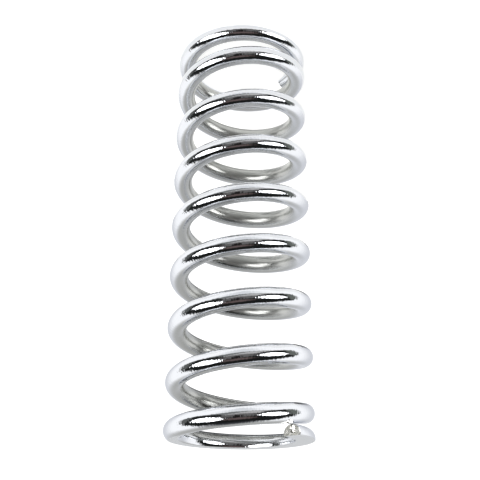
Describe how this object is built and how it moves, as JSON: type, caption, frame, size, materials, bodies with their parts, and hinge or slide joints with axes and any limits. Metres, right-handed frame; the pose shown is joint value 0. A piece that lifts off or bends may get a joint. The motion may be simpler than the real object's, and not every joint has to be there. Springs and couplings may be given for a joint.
{
  "type": "coilover spring",
  "caption": "Helical compression spring of round wire with closed, flat-ground ends, for fitting round a shock absorber between flat spring seats.",
  "frame": {"origin": "on the coil's axis, in the plane of the lower ground face that the spring stands on", "axes": "+Z along the coil's axis from the lower ground end to the upper one; the wire winds right-handed, and the lower tip lies between +Y and -X"},
  "size_m": [0.0862, 0.0862, 0.254],
  "materials": {
    "coil": "polished, with satin ground ends"
  },
  "bodies": {
    "root": {"coil_spring": "coil"}
  },
  "joints": []
}
